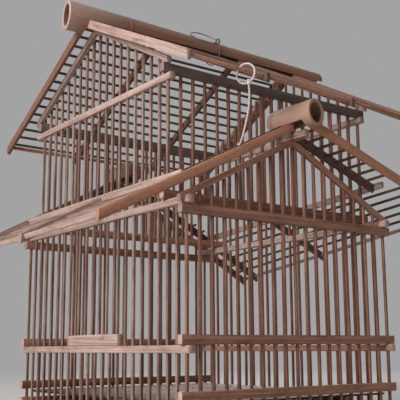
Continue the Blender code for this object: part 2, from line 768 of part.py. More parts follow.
def make_ridges():
    crown = strip_crown(lower_strip_apex, lower_pitch_share)
    pole_foot = crown + fit_gap
    barge_outer = half_depth + lower_gable_overhang
    for side, word in ((-1, "front"), (1, "back")):
        bm = bmesh.new()
        ends = sorted((side * (barge_outer - barge_thickness - fit_gap),
                       side * (tower_half_depth + x_rail_depth / 2 + lower_pole_tower_gap)))
        box(bm, (-pole_width / 2, ends[0], pole_foot), (pole_width / 2, ends[1], pole_foot + lower_pole_height))
        node("lower_ridge_pole_" + word, bm, lit_wood)
        open_end = side * (barge_outer + lower_tube_overhang)
        closed_end = side * (tower_half_depth + bar_side / 2 + lower_tube_tower_gap)
        height = lower_roof_apex + lower_tube_lift
        tube = culm("lower_ridge_tube_" + word, False, (0, 0, height),
                    culm_profile(open_end, closed_end, lower_tube_radius, lower_tube_radius,
                                 lower_tube_bore, abs(closed_end - open_end) - tube_diaphragm), tube_wood)
        along = sorted((side * (barge_outer + fit_gap), side * (tower_half_depth - lower_tube_tower_gap)))
        saddle(tube, lower_slopes(), along, 2 * lower_tube_radius, height)

    crown = strip_crown(upper_strip_apex, upper_pitch_share)
    bm = bmesh.new()
    reach = half_width + upper_pole_overhang
    box(bm, (-reach, -pole_width / 2, crown + fit_gap), (reach, pole_width / 2, crown + fit_gap + upper_pole_height))
    node("upper_ridge_pole", bm, lit_wood)
    barge_outer = half_width + upper_gable_overhang
    open_end = -(barge_outer + upper_tube_overhang_left)
    closed_end = barge_outer + upper_tube_overhang_right
    height = upper_roof_apex + upper_tube_lift
    tube = culm("upper_ridge_tube", True, (0, 0, height),
                culm_profile(open_end, closed_end, upper_tube_radius, upper_tube_small_radius,
                             upper_tube_bore, upper_tube_bore_depth), tube_wood)
    along = (-(barge_outer + fit_gap), closed_end + tube_collar)
    saddle(tube, upper_slopes(), along, 2 * upper_tube_radius, height)


def wire_ring(bm, centre, first, second, radius, steps):
    """A closed round wire in the plane of two unit directions."""
    rings = []
    normal = first.cross(second)
    for i in range(steps):
        angle = 2 * math.pi * i / steps
        out = first * math.cos(angle) + second * math.sin(angle)
        ring = []
        for k in range(wire_sides):
            turn = 2 * math.pi * (k + 0.5) / wire_sides
            ring.append(bm.verts.new(centre + out * (radius + wire_radius * math.cos(turn))
                                     + normal * wire_radius * math.sin(turn)))
        rings.append(ring)
    for i in range(steps):
        here, there = rings[i], rings[(i + 1) % steps]
        for k in range(wire_sides):
            m = (k + 1) % wire_sides
            bm.faces.new((here[k], here[m], there[m], there[k]))


def upper_tube_radius_at(x):
    open_end = -(half_width + upper_gable_overhang + upper_tube_overhang_left)
    closed_end = half_width + upper_gable_overhang + upper_tube_overhang_right - tube_end_round
    share = (x - open_end) / (closed_end - open_end)
    return upper_tube_radius + (upper_tube_small_radius - upper_tube_radius) * share


def make_hanger():
    """A wire band round the tube, its eye on the front shoulder, and the ring lying back on the tube."""
    middle = Vector((hanger_offset, 0, upper_roof_apex + upper_tube_lift))
    band_radius = upper_tube_radius_at(hanger_offset - wire_radius) + fit_gap + wire_radius
    along, across, up = Vector((1, 0, 0)), Vector((0, 1, 0)), Vector((0, 0, 1))
    outward = Vector((0, -math.sin(hanger_tilt), math.cos(hanger_tilt)))
    bm = bmesh.new()
    wire_ring(bm, middle, across, up, band_radius, band_steps)
    band = node("hanger_band", bm, steel, 0.4, 1)
    pivot_height = band_radius + eye_radius
    pivot = middle + outward * pivot_height
    eye = bmesh.new()
    wire_ring(eye, pivot, along, outward, eye_radius, eye_steps)
    unite(band, eye)
    rest_height = upper_tube_radius_at(hanger_offset - 2 * ring_radius) + fit_gap + wire_radius
    droop = math.asin((pivot_height - rest_height) / (2 * ring_radius))
    away = -math.cos(droop) * along - math.sin(droop) * outward
    bm = bmesh.new()
    wire_ring(bm, pivot + away * ring_radius, away, along.cross(outward), ring_radius, ring_steps)
    node("hanging_ring", bm, steel, 0.4, 1, origin=pivot)


def smooth_path(points, steps):
    """A smooth curve through the points, with this many steps between each two."""
    knots = [Vector(point) for point in points]
    ends = [2 * knots[0] - knots[1]] + knots + [2 * knots[-1] - knots[-2]]
    path = []
    for a, b, c, d in zip(ends, ends[1:], ends[2:], ends[3:]):
        for step in range(steps):
            t = step / steps
            path.append(0.5 * (2 * b + (c - a) * t + (2 * a - 5 * b + 4 * c - d) * t ** 2
                               + (3 * b - a - 3 * c + d) * t ** 3))
    path.append(knots[-1])
    return path


def cord_curve(name, path):
    curve = bpy.data.curves.new(name, "CURVE")
    curve.dimensions = "3D"
    curve.bevel_depth = cord_radius
    curve.bevel_resolution = cord_bevel_steps
    curve.use_fill_caps = True
    spline = curve.splines.new("POLY")
    spline.points.add(len(path) - 1)
    for point, where in zip(spline.points, path):
        point.co = (*where, 1)
    curve.materials.append(material(name, cotton, 0.9, 0))
    made = bpy.data.objects.new(name, curve)
    bpy.context.scene.collection.objects.link(made)


def loop_place(angle):
    """A place on the loop round the eave strip, in a plane turned a little from square to it."""
    across = Vector((math.sin(loop_turn), -math.cos(loop_turn), 0))
    return Vector(loop_centre) + loop_radius * (across * math.cos(angle) + Vector((0, 0, math.sin(angle))))


def make_cord():
    steps = cord_loop_points - 1
    cord_curve("cord_loop", [loop_place(loop_start + loop_sweep * i / steps) for i in range(cord_loop_points)])
    cord_curve("cord_tail", smooth_path(tail_points, tail_steps))
    middle = loop_place(loop_start + (loop_sweep - 2 * math.pi) / 2)
    bm = bmesh.new()
    bmesh.ops.create_uvsphere(bm, u_segments=knot_sides, v_segments=knot_rings, radius=1)
    bmesh.ops.scale(bm, verts=bm.verts, vec=(knot_radius, knot_radius, knot_length / 2))
    bmesh.ops.translate(bm, verts=bm.verts, vec=middle)
    node("cord_knot", bm, cotton, 0.9)


clear_scene()
make_base()
make_floor()
make_front_walls()
make_side_walls()
make_tower_walls()
make_door()
make_lower_roof()
make_upper_roof()
make_ridges()
make_hanger()
make_cord()
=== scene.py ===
import math
import random

import bmesh
import bpy
import numpy as np
from mathutils import Matrix, Vector


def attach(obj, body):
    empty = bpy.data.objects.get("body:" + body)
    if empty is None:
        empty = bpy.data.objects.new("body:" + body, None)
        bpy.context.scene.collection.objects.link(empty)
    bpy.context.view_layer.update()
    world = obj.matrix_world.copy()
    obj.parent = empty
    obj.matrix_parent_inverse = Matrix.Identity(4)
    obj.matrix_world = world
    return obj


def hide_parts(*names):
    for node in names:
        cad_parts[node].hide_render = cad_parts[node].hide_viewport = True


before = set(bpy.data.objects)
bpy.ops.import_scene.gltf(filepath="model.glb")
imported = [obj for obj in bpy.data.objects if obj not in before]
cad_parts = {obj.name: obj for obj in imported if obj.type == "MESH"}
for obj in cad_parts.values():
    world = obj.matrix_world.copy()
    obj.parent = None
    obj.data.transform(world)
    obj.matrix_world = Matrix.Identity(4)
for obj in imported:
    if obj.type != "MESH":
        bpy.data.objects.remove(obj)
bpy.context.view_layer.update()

dice = random.Random(41)

# a bamboo bird cage in two tiers, in metres: Z is up, the front gable faces -Y, the sliding door is at -X
plan = {
    "barPitch": 0.018, "barSide": 0.0040, "bays": 18, "sideBays": 22,
    "halfWidth": 0.162, "halfDepth": 0.198, "towerDepth": 0.162,
    "railAcross": 0.0088, "tallRail": 0.0112, "railReach": 0.0096,
}
pitch = plan["barPitch"]
acrossX, acrossY, upright = Vector((1, 0, 0)), Vector((0, 1, 0)), Vector((0, 0, 1))


# camera

cameraSetup = {
    "place": (-0.67068, -0.90270, 0.08856), "yaw": 53.19, "pitch": 10.47, "roll": -0.34,
    "focalPixels": 798.6, "imageSide": 400, "sensor": 36.0, "farthest": 60,
}


def makeCamera(setup):
    yaw, pitch, roll = (math.radians(setup[key]) for key in ("yaw", "pitch", "roll"))
    ahead = Vector((math.cos(pitch) * math.cos(yaw), math.cos(pitch) * math.sin(yaw), math.sin(pitch)))
    right = Vector((math.sin(yaw), -math.cos(yaw), 0))
    up = right.cross(ahead)
    tiltedRight = math.cos(roll) * right + math.sin(roll) * up
    tiltedUp = math.cos(roll) * up - math.sin(roll) * right
    bpy.ops.object.camera_add(location=setup["place"])
    camera = bpy.context.object
    turn = Matrix((tiltedRight, tiltedUp, -ahead)).transposed().to_4x4()
    camera.matrix_world = Matrix.Translation(setup["place"]) @ turn
    camera.data.sensor_width = setup["sensor"]
    camera.data.lens = setup["focalPixels"] * setup["sensor"] / setup["imageSide"]
    camera.data.clip_end = setup["farthest"]
    bpy.context.scene.camera = camera


makeCamera(cameraSetup)
print("camera set")


# shader maths: a Flow is one socket, a Tree the nodes of a material or world, a Look one finish

class Flow:
    def __init__(self, look, socket):
        self.look = look
        self.socket = socket

    def maths(self, operation, *others):
        return self.look.put("ShaderNodeMath", {"operation": operation}, [self, *others])

    def __add__(self, other):
        return self.maths("ADD", other)

    __radd__ = __add__

    def __sub__(self, other):
        return self.maths("SUBTRACT", other)

    def __rsub__(self, other):
        return self.look.put("ShaderNodeMath", {"operation": "SUBTRACT"}, [other, self])

    def __mul__(self, other):
        return self.maths("MULTIPLY", other)

    __rmul__ = __mul__

    def clamp(self):
        return self.look.put("ShaderNodeClamp", {}, [self, 0.0, 1.0])

    def ramp(self, low, high):
        settings = {"interpolation_type": "SMOOTHSTEP"}
        return self.look.put("ShaderNodeMapRange", settings, [self, low, high, 0.0, 1.0])


class Tree:
    def __init__(self, owner):
        owner.use_nodes = True
        self.tree = owner.node_tree

    def feed(self, socket, value):
        if isinstance(value, Flow):
            self.tree.links.new(value.socket, socket)
        elif isinstance(value, (tuple, list)) and socket.type == "RGBA" and len(value) == 3:
            socket.default_value = (*value, 1)
        else:
            socket.default_value = value

    def put(self, kind, settings, values, out=0):
        node = self.tree.nodes.new(kind)
        for name, value in settings.items():
            setattr(node, name, value)
        pairs = values.items() if isinstance(values, dict) else enumerate(values)
        for key, value in pairs:
            self.feed(node.inputs[key], value)
        return Flow(self, node.outputs[out])

    def mix(self, factor, first, second):
        return self.put("ShaderNodeMix", {"data_type": "RGBA"}, {0: factor, 6: first, 7: second}, 2)

    def attribute(self, name):
        return self.put("ShaderNodeAttribute", {"attribute_name": name}, [], "Vector")

    def noise(self, vector, scale, detail=3.0, roughness=0.55):
        values = {"Vector": vector, "Scale": scale, "Detail": detail, "Roughness": roughness}
        return self.put("ShaderNodeTexNoise", {}, values)

    def grainNoise(self, vector, waves, detail=3.0, roughness=0.55):      # waves to a metre on each axis
        stretched = self.put("ShaderNodeVectorMath", {"operation": "MULTIPLY"}, [vector, waves])
        return self.noise(stretched, 1.0, detail, roughness)

    def split(self, vector, index):
        return self.put("ShaderNodeSeparateXYZ", {}, [vector], index)

    def objectPlace(self):
        return self.put("ShaderNodeTexCoord", {}, [], 3)

    def seenRays(self):      # 1 where the camera looks, also through a reflection
        names = ("Is Camera Ray", "Is Glossy Ray", "Is Transmission Ray")
        direct, mirrored, through = (self.put("ShaderNodeLightPath", {}, [], name) for name in names)
        return (direct + mirrored + through).clamp()


class Look(Tree):
    def __init__(self, name, roughness=0.6, metallic=0.0, specular=0.4):
        self.material = bpy.data.materials.new(name)
        super().__init__(self.material)
        self.shader = self.tree.nodes["Principled BSDF"]
        sheen = {"Roughness": roughness, "Metallic": metallic, "Specular IOR Level": specular}
        for socket, value in sheen.items():
            self.shader.inputs[socket].default_value = value

    def bump(self, height, strength, distance):
        values = {"Strength": strength, "Distance": distance, "Height": height}
        self.feed(self.shader.inputs["Normal"], self.put("ShaderNodeBump", {}, values))

    def paint(self, colour):
        self.feed(self.shader.inputs["Base Color"], colour)

    def rough(self, value):
        self.feed(self.shader.inputs["Roughness"], value)


# split bamboo: "grain" holds a point's place along, across and through its stick, "mark" what it is

bamboo = {
    # waves to a metre along, across and through the stick
    "streak": (9.0, 420.0, 420.0), "fibre": (60.0, 3200.0, 3200.0),
    "blotch": (34.0, 90.0, 90.0), "fleck": (230.0, 1100.0, 1100.0),
    "toneShare": 0.75, "streakShare": 0.42, "blotchShare": 0.22, "paleShift": 0.12,      # what browns it
    "stainShare": 0.45, "fibreShare": 0.25, "fleckShare": 0.7,      # what darkens it
    "knuckleShare": 0.4, "cutShare": 0.8, "rough": 0.52, "roughFrom": 0.44, "bump": 0.4, "bumpDepth": 0.0004,
}


def splitBamboo(name, pale, brown, dark, endGrain):
    look = Look(name, roughness=bamboo["rough"])
    grain = look.attribute("grain")
    mark = look.attribute("mark")
    tone, cap, knuckle = (look.split(mark, index) for index in range(3))
    streak = look.grainNoise(grain, bamboo["streak"], 4.0)
    fibre = look.grainNoise(grain, bamboo["fibre"], 2.0)
    blotch = look.grainNoise(grain, bamboo["blotch"], 3.0, 0.6)
    fleck = look.grainNoise(grain, bamboo["fleck"], 2.0)
    brownness = tone * bamboo["toneShare"] + streak.ramp(0.36, 0.66) * bamboo["streakShare"]
    brownness = brownness + blotch.ramp(0.35, 0.75) * bamboo["blotchShare"] - bamboo["paleShift"]
    stain = blotch.ramp(0.60, 0.80) * bamboo["stainShare"] + fibre.ramp(0.60, 0.78) * bamboo["fibreShare"]
    stain = stain + fleck.ramp(0.60, 0.68) * bamboo["fleckShare"]
    colour = look.mix(brownness.clamp(), pale, brown)
    colour = look.mix(stain.clamp(), colour, dark)
    # the knuckle mark darkens knuckles, and on the pegs it carries painted shade
    colour = look.mix(knuckle * bamboo["knuckleShare"], colour, dark)
    colour = look.mix(cap * bamboo["cutShare"], colour, endGrain)
    look.paint(colour)
    look.rough((bamboo["roughFrom"] + streak * 0.2).clamp())
    relief = fibre * 0.6 + streak * 0.8 - fleck.ramp(0.64, 0.70) * 0.5
    look.bump(relief, bamboo["bump"], bamboo["bumpDepth"])
    return look.material


# each finish: its material, its usual slot, and its pale, brown, dark and cut-end colours
woods = {
    # painted light: the lit wood is the same split bamboo as the rail wood, drawn paler and pinker as if lit
    # by the window lamp
    "litWood": ("pale_split_bamboo_painted_lit", "pale_bamboo", (0.54, 0.385, 0.33), (0.155, 0.08, 0.056),
                (0.07, 0.032, 0.022), (0.34, 0.22, 0.16)),
    # painted shade: the rail wood is the same split bamboo drawn darker and redder, as if turned away from
    # the window lamp
    "shadedRailWood": ("brown_bamboo_rail_painted_shade", "brown_bamboo", (0.50, 0.26, 0.175), (0.15, 0.06, 0.037),
                 (0.05, 0.02, 0.013), (0.48, 0.33, 0.27)),
    # the rod wood is dark bamboo, drawn darker still as painted shade, since the rods are seen from below
    "rodWood": ("dark_bamboo_rod_painted_shade", "dark_rod", (0.15, 0.075, 0.052), (0.065, 0.031, 0.021),
                (0.026, 0.012, 0.009), (0.10, 0.05, 0.034)),
    "orangeBoard": ("orange_bamboo_board", "pale_bamboo", (0.50, 0.25, 0.155), (0.33, 0.13, 0.074),
                    (0.12, 0.048, 0.028), (0.30, 0.16, 0.10)),
    # painted shade: the dark board wood is for barge boards seen from below, in shadow
    "shadedBoard": ("dark_bamboo_board_painted_shade", "pale_bamboo", (0.24, 0.115, 0.074), (0.12, 0.052, 0.033),
                  (0.045, 0.02, 0.013), (0.15, 0.075, 0.048)),
    "agedRail": ("aged_grey_rail", "brown_bamboo", (0.19, 0.14, 0.12), (0.10, 0.064, 0.052),
                 (0.035, 0.021, 0.017), (0.24, 0.17, 0.14)),
}
looks = {key: splitBamboo(name, *colours) for key, (name, slotName, *colours) in woods.items()}
print("bamboo materials made")


# one split stick, modelled once straight and once with more rings to bend

stickMaster = {
    "cornerShare": 0.12, "cuts": 6, "bentCuts": 19, "faceInset": 0.0005, "faceShare": 0.86,
    "slim": 0.0046, "barGirth": (0.80, 0.94), "girth": (0.96, 1.0), "wander": 0.0003,
    "knuckleShare": 0.5, "knuckleFrom": 0.06, "knuckleRange": (0.12, 0.88),
    "knuckleHalf": 0.0016, "knuckleSwell": 1.10,
    "bendWaves": (0.8, 1.3), "bendShift": (-0.3, 0.3),
    "ripple": (-0.35, 0.35), "rippleWaves": (3, 5), "rippleShift": (0, 6),
    "spin": (-0.08, 0.08), "grainShift": (0, 9), "toneSpread": (-0.2, 0.2),
}


def deselectAll():
    bpy.ops.object.select_all(action="DESELECT")


def pickOnly(piece):
    deselectAll()
    piece.select_set(True)
    bpy.context.view_layer.objects.active = piece


def selectLengthwise(piece):
    shape = bmesh.from_edit_mesh(piece.data)
    for edge in shape.edges:
        first, second = edge.verts
        edge.select_set(abs(first.co.x - second.co.x) > 0.5)
    shape.select_flush_mode()
    bmesh.update_edit_mesh(piece.data)


def modelStick(setup, cuts):
    deselectAll()
    bpy.ops.mesh.primitive_cube_add(size=1)
    stick = bpy.context.object
    bpy.ops.object.mode_set(mode="EDIT")
    bpy.ops.mesh.select_mode(type="EDGE")
    selectLengthwise(stick)
    bpy.ops.mesh.bevel(offset=setup["cornerShare"], segments=1, affect="EDGES")
    selectLengthwise(stick)
    bpy.ops.mesh.subdivide(number_cuts=cuts)
    bpy.ops.object.mode_set(mode="OBJECT")
    points = np.array([tuple(vertex.co) for vertex in stick.data.vertices])
    rings = np.rint((points[:, 0] + 0.5) * (cuts + 1)).astype(int)
    return {"thing": stick, "section": points[:, 1:], "rings": rings, "last": cuts + 1}


straightStick = modelStick(stickMaster, stickMaster["cuts"])
bentStick = modelStick(stickMaster, stickMaster["bentCuts"])


def drawn(name):      # a random value from one of the stick's ranges
    return dice.uniform(*stickMaster[name])


def laySteps(length, slim, last):      # where the rings lie, how thick they are, and which is a knuckle
    inset, half = stickMaster["faceInset"], stickMaster["knuckleHalf"]
    steps = np.linspace(0, length, last + 1)
    steps[1], steps[-2] = inset, length - inset
    swell = np.ones(last + 1)
    swell[0] = swell[-1] = stickMaster["faceShare"]
    knuckle = np.zeros(last + 1)
    if slim and length > stickMaster["knuckleFrom"] and dice.random() < stickMaster["knuckleShare"]:
        share = drawn("knuckleRange")
        ring = last // 2 if share < 0.5 else last // 2 + 1
        steps[ring - 1:ring + 2] = (share * length - half, share * length, share * length + half)
        swell[ring] = stickMaster["knuckleSwell"]
        knuckle[ring] = 1
    return steps, swell, knuckle


def writeMarks(mesh, grain, mark):
    for name, values in (("grain", grain), ("mark", mark)):
        layer = mesh.attributes.new(name, "FLOAT_VECTOR", "POINT")
        layer.data.foreach_set("vector", values.ravel())


# stain, when given, darkens the whole stick through its knuckle mark and keeps its cut ends from turning
# pale: painted shade, used for the pegs
def layStick(points, across, up, tone=None, wander=stickMaster["wander"], girths=stickMaster["girth"],
             stain=0):
    points = np.array([tuple(point) for point in points])
    across = np.array(tuple(across))
    bent = len(points) > 2      # a bent stick has one ring at each point, with its own depth there
    master = bentStick if bent else straightStick
    stickRing, lastRing = master["rings"], master["last"]
    ups = np.array([tuple(entry) for entry in (up if bent else [up] * (lastRing + 1))])
    legs = np.linalg.norm(np.diff(points, axis=0), axis=1)
    reached = np.concatenate(([0], np.cumsum(legs)))
    length = reached[-1]
    wide, deep = np.linalg.norm(across), np.linalg.norm(ups[0])
    slim = max(wide, deep) < stickMaster["slim"]
    steps, swell, knuckle = laySteps(length, slim, lastRing)
    if bent:
        steps = reached
    line = np.stack([np.interp(steps, reached, points[:, axis]) for axis in range(3)], 1)
    share = steps / length
    for vector in (across / wide, ups[0] / deep):      # no split stick is quite straight
        bend = dice.uniform(-1, 1) * np.sin(np.pi * share * drawn("bendWaves") + drawn("bendShift"))
        ripple = drawn("ripple") * np.sin(np.pi * share * drawn("rippleWaves") + drawn("rippleShift"))
        line = line + ((bend + ripple) * wander)[:, None] * vector
    girth = dice.uniform(*girths)
    spin = drawn("spin") if slim else 0
    local = master["section"]
    turned = np.stack((local[:, 0] * math.cos(spin) - local[:, 1] * math.sin(spin),
                       local[:, 0] * math.sin(spin) + local[:, 1] * math.cos(spin)), 1)
    thick = (swell[stickRing] * girth)[:, None]
    place = line[stickRing] + turned[:, :1] * thick * across + turned[:, 1:] * thick * ups[stickRing]
    mesh = master["thing"].data.copy()
    mesh.vertices.foreach_set("co", place.ravel())
    offset = np.array([drawn("grainShift") for axis in range(3)])
    grain = np.stack((steps[stickRing], local[:, 0] * wide, local[:, 1] * deep), 1) + offset
    tone = dice.random() if tone is None else min(1, max(0, tone + drawn("toneSpread")))
    cap = np.isin(stickRing, (0, lastRing)).astype(float)
    mark = np.stack((np.full(len(cap), tone), cap * (stain == 0), knuckle[stickRing] + stain), 1)
    writeMarks(mesh, grain, mark)
    made = bpy.data.objects.new("stick", mesh)
    bpy.context.scene.collection.objects.link(made)
    return made


def finishPiece(name, parts, node, body, material, angle=40):
    deselectAll()
    for part in parts:
        part.select_set(True)
    bpy.context.view_layer.objects.active = parts[0]
    if len(parts) > 1:
        bpy.ops.object.join()
    piece = bpy.context.object
    piece.name = name
    piece.data.name = name
    bpy.ops.object.shade_smooth_by_angle(angle=math.radians(angle))
    piece.data.materials.clear()
    piece.data.materials.append(material)
    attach(piece, body)
    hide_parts(node)
    return piece


def bundle(name, sticks, node, finish, body="cage"):
    return finishPiece(name, sticks, node, body, looks[finish])


# walls

wall = {
    # the underside of each rail, from the ground up, and the tops of the base rails
    "frontBase": 0.0091, "bottom": 0.0319, "midSide": 0.0825, "mid": 0.0916, "eave": 0.2344,
    "eaveSide": 0.2459, "sill": 0.2550, "towerSide": 0.39778, "towerFront": 0.40688,
    "baseTop": 0.0088, "frontBaseTop": 0.0203, "towerSideRun": (-0.1716, 0.181),
    # bars
    "socket": 0.0052, "gableGap": 0.0003, "sideGap": 0.0006, "cornerTop": 0.2544,
    "doorBars": range(9, 14), "underDoorTop": 0.0869, "overDoorFoot": 0.2503,
    # the bars' tone is browner than the rails', partly the bars' own colour and partly painted shade for
    # their dark sides
    "towerFoot": 0.2606, "towerTop": 0.4121, "barTone": (0.85, 1.1), "barWander": 0.0005,
    "railWander": 0.0004,
    # bent strips over the bars
    "lowerApex": 0.335064, "lowerPitch": 0.51, "upperApex": 0.508239, "upperPitch": 0.54,
    "bendRadius": 0.018, "stripThick": 0.0075, "stripDeep": 0.0072, "sideStrip": 0.1679,
    "stripRuns": (0.173, 0.1725, 0.12, 0.06, 0.025, 0.0165, 0.0125, 0.0095, 0.0065, 0.0035),
}
reachX, reachY = (plan[half] + plan["railReach"] for half in ("halfWidth", "halfDepth"))


def stripLevel(apex, slope, radius, distance):      # a curve at the ridge, straight down both sides
    secant = math.sqrt(1 + slope ** 2)
    if abs(distance) >= radius * slope / secant:
        return apex - slope * abs(distance)
    return apex - radius * secant + math.sqrt(radius ** 2 - distance ** 2)


def bar(x, y, foot, top):
    return layStick(((x, y, foot), (x, y, top)), acrossX * plan["barSide"], acrossY * plan["barSide"],
                    dice.uniform(*wall["barTone"]), wall["barWander"], stickMaster["barGirth"])


def railX(y, foot, tone=0.5):
    level = foot + plan["tallRail"] / 2
    return layStick(((-reachX, y, level), (reachX, y, level)), acrossY * plan["railAcross"],
                    upright * plan["tallRail"], tone, wall["railWander"])


def railY(x, foot, run=(-reachY, reachY), tone=0.15):
    level = foot + plan["railAcross"] / 2
    return layStick(((x, run[0], level), (x, run[1], level)), acrossX * plan["railAcross"],
                    upright * plan["railAcross"], tone, wander=0)


def bentStrip(place, apex, slope, alongX, tone):
    thick, radius = wall["stripThick"], wall["bendRadius"]
    crown = apex + thick * math.sqrt(1 + slope ** 2)
    runs = [-run for run in wall["stripRuns"]] + [0] + list(reversed(wall["stripRuns"]))
    points, ups = [], []
    for run in runs:
        low = stripLevel(apex, slope, radius, run)
        high = stripLevel(crown, slope, radius + thick, run)
        level = (low + high) / 2
        points.append((run, place, level) if alongX else (place, run, level))
        ups.append(upright * (high - low))
    return layStick(points, (acrossY if alongX else acrossX) * wall["stripDeep"], ups, tone)


def frontX(index):
    return index * pitch - plan["halfWidth"]


def sideY(index):
    return index * pitch - plan["halfDepth"]


def sideBarTop(y):
    thick, slope = wall["stripThick"], wall["upperPitch"]
    crown = wall["upperApex"] + thick * math.sqrt(1 + slope ** 2)
    return stripLevel(crown, slope, wall["bendRadius"] + thick, y) - wall["sideGap"]


def sideWall(way, word):
    x = way * plan["halfWidth"]
    last = plan["sideBays"] - 1
    bundle(word + "BaseRail", [railY(x, 0, tone=0.6)], "base_rail_" + word, "litWood")
    sticks = [railY(x, wall["midSide"])]
    for index in range(1, last + 1):
        top = wall["cornerTop"] if index in (1, last) else sideBarTop(sideY(index))
        if way < 0 and index in wall["doorBars"]:
            top = wall["underDoorTop"]
        sticks.append(bar(x, sideY(index), wall["baseTop"] - wall["socket"], top))
    # painted light and shade: the left grille, on the window side, takes the pale lit wood, the right one
    # the darker shaded wood
    finish = "litWood" if way < 0 else "shadedRailWood"
    bundle(word + "Grille", sticks, word + "_grille", finish)
    sticks = [railY(x, wall["eaveSide"])]
    if way < 0:      # short bars from the eave rail up, over the door
        for index in wall["doorBars"]:
            sticks.append(bar(x, sideY(index), wall["overDoorFoot"], sideBarTop(sideY(index))))
    bundle(word + "EaveRail", sticks, "eave_rail_" + word, "litWood")
    rail = railY(x, wall["towerSide"], wall["towerSideRun"])
    bundle(word + "TowerRail", [rail], "tower_rail_" + word, "litWood")
    strip = bentStrip(way * wall["sideStrip"], wall["upperApex"], wall["upperPitch"], False, 0.55)
    bundle(word + "GableStrip", [strip], "gable_strip_" + word, "litWood")


def gableWall(way, word):
    y = way * plan["halfDepth"]
    bundle(word + "BaseRail", [railX(y, wall["frontBase"])], "base_rail_" + word, "shadedRailWood")
    bundle(word + "BottomRail", [railX(y, wall["bottom"], 0.75)], "bottom_rail_" + word, "shadedRailWood")
    sticks = [railX(y, wall["mid"])]
    for index in range(plan["bays"] + 1):
        foot = wall["baseTop"] if index in (0, plan["bays"]) else wall["frontBaseTop"]
        top = stripLevel(wall["lowerApex"], wall["lowerPitch"], wall["bendRadius"], frontX(index))
        sticks.append(bar(frontX(index), y, foot - wall["socket"], top - wall["gableGap"]))
    bundle(word + "Grille", sticks, word + "_grille", "shadedRailWood")
    bundle(word + "EaveRail", [railX(y, wall["eave"])], "eave_rail_" + word, "shadedRailWood")
    strip = bentStrip(y, wall["lowerApex"], wall["lowerPitch"], True, 0.5)
    bundle(word + "GableStrip", [strip], "gable_strip_" + word, "shadedRailWood")


def towerWall(way, word):
    y = way * plan["towerDepth"]
    sticks = [railX(y, wall["sill"])]
    for index in range(1, plan["bays"]):
        sticks.append(bar(frontX(index), y, wall["towerFoot"], wall["towerTop"]))
    bundle("tower" + word.title() + "Grille", sticks, "tower_" + word + "_grille", "shadedRailWood")
    bundle("tower" + word.title() + "Rail", [railX(y, wall["towerFront"])], "tower_rail_" + word, "agedRail")


for way, word in ((-1, "left"), (1, "right")):
    sideWall(way, word)
for way, word in ((-1, "front"), (1, "back")):
    gableWall(way, word)
    towerWall(way, word)
print("walls built")


# floor and door

floor = {
    "slats": 17, "reachX": 0.1575, "reachY": 0.1935, "gap": 0.005, "level": 0.0288, "thick": 0.0032,
    "bearers": (-0.081, 0.081), "bearerReach": 0.2015, "bearerLevel": 0.0242,
    "bearerWide": 0.008, "bearerDeep": 0.0072,
}
door = {
    "plankRun": (-0.061, 0.065), "level": 0.0984, "plankWide": 0.0086, "plankDeep": 0.0136,
    "bars": range(8, 14), "barTop": 0.2607,
}


def layFloor(setup):
    slatPitch = (2 * setup["reachY"] + setup["gap"]) / setup["slats"]
    slatWide = slatPitch - setup["gap"]
    reach, level = setup["reachX"], setup["level"]
    sticks = []
    for index in range(setup["slats"]):
        y = -setup["reachY"] + index * slatPitch + slatWide / 2
        sticks.append(layStick(((-reach, y, level), (reach, y, level)), acrossY * slatWide,
                               upright * setup["thick"], 0.4))
    reach, level = setup["bearerReach"], setup["bearerLevel"]
    for x in setup["bearers"]:
        sticks.append(layStick(((x, -reach, level), (x, reach, level)), acrossX * setup["bearerWide"],
                               upright * setup["bearerDeep"], 0.7))
    bundle("floorSlats", sticks, "floor_slats", "rodWood")


def hangDoor(setup):
    x, level = -plan["halfWidth"], setup["level"]
    sticks = [layStick([(x, y, level) for y in setup["plankRun"]], acrossX * setup["plankWide"],
                       upright * setup["plankDeep"], 0.3)]
    sticks += [bar(x, sideY(index) + pitch / 2, level, setup["barTop"]) for index in setup["bars"]]
    bundle("slidingDoor", sticks, "sliding_door", "litWood", "door")


layFloor(floor)
hangDoor(door)
print("floor and door built")


# roofs: a slope's pitch goes evenly from one gable to the other, and a run is level, out from the ridge

roofStick = {"rod": 0.0032, "boardThick": 0.0056, "boardWide": 0.0112, "boardWander": 0.0006}
lowerRoof = {
    "apex": 0.359483, "eave": 0.2780, "backBoard": 0.2285, "bargeStart": 0.0002,
    "rodPast": 0.0001, "backRod": 0.2286, "stripInset": 0.0031, "backStrip": 0.2254,
    "rafterStart": 0.0048, "rafterEnd": 0.1643, "frontRafter": -0.183, "backRafter": 0.195,
    "rodTail": 0.174, "shortRods": range(1, 9), "skirtStart": 0.1703, "skirtRods": range(10, 15),
    "plateMiddle": 0.1673, "plate": (-0.198, 0.198), "plateLift": 0.0035,
    "plateWide": 0.0054, "plateDeep": 0.009,
    "poleLevel": 0.34566, "poleWide": 0.009, "poleDeep": 0.010,
    "poles": {"front": (-0.2254, -0.1704), "back": (0.1704, 0.2254)},
}
lowerSides = {
    "left": {
        "way": -1, "pitches": (0.500, 0.530), "frontBoard": -0.2050, "frontStart": 0.0048,
        "middleRafter": -0.020, "stripWide": 0.0080, "stripDeep": 0.0060, "stripRun": 0.26956,
        # painted light: the left skirt rods take the pale lit wood
        "skirtWood": "litWood",
    },
    "right": {
        "way": 1, "pitches": (0.330, 0.550), "frontBoard": -0.2285, "frontStart": 0.0002,
        "middleRafter": 0.026, "stripWide": 0.0044, "stripDeep": 0.0044, "stripRun": 0.27151,
        # painted shade: the right skirt rods take the dark rod wood
        "skirtWood": "rodWood",
    },
}
